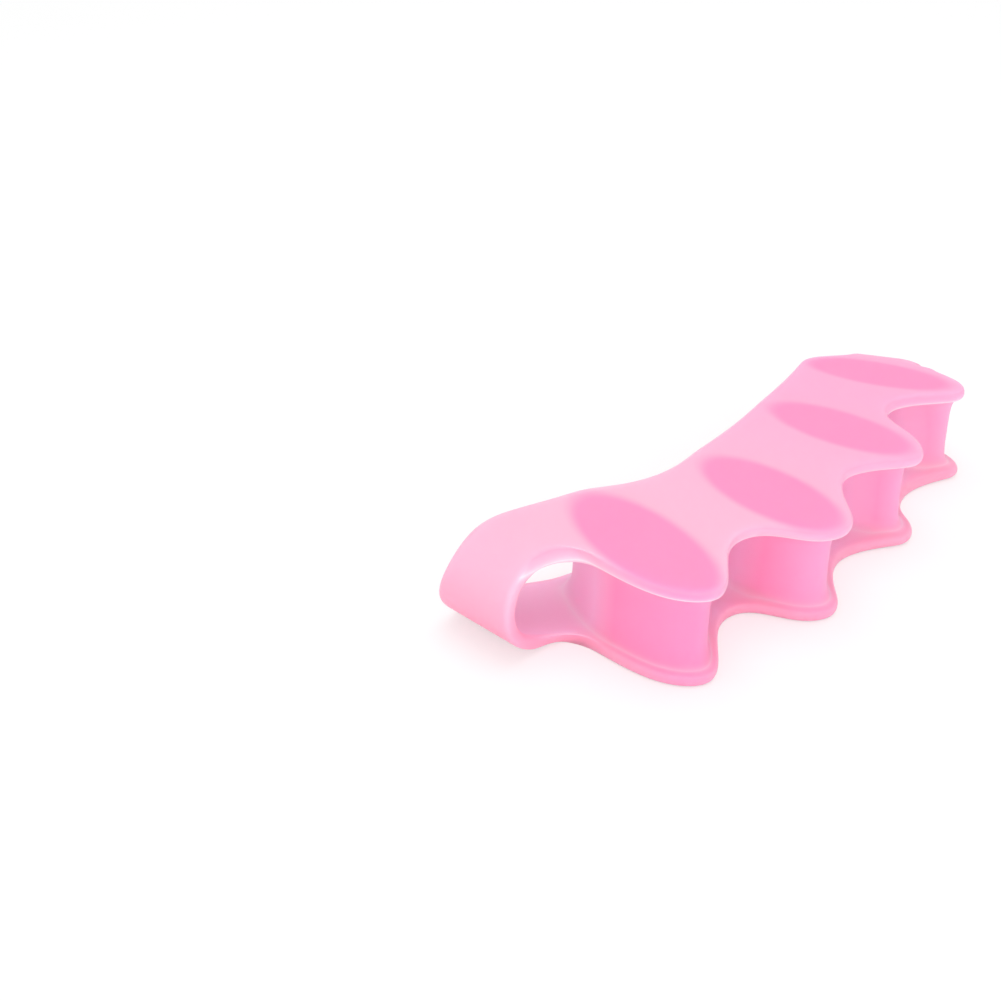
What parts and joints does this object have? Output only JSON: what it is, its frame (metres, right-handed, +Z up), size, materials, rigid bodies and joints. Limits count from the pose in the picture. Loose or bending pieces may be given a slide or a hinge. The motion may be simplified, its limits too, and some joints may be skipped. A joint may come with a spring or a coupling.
{
  "type": "toe separator",
  "caption": "Soft gel toe separator moulded in one piece: a scalloped upper and lower plate joined by oval posts, with a closed loop at each end.",
  "frame": {"origin": "middle of the bounding box at floor height, where the lower plate lies on the surface", "axes": "+X along the row of toes from the big toe's loop towards the small toe's loop, -Y towards the scalloped front edge, +Z up from the lower plate to the upper plate"},
  "size_m": [0.1178, 0.0508, 0.0192],
  "materials": {
    "gel": "smooth translucent pink silicone gel with a soft gloss"
  },
  "bodies": {
    "root": {"toe_separator": "gel"}
  },
  "joints": []
}
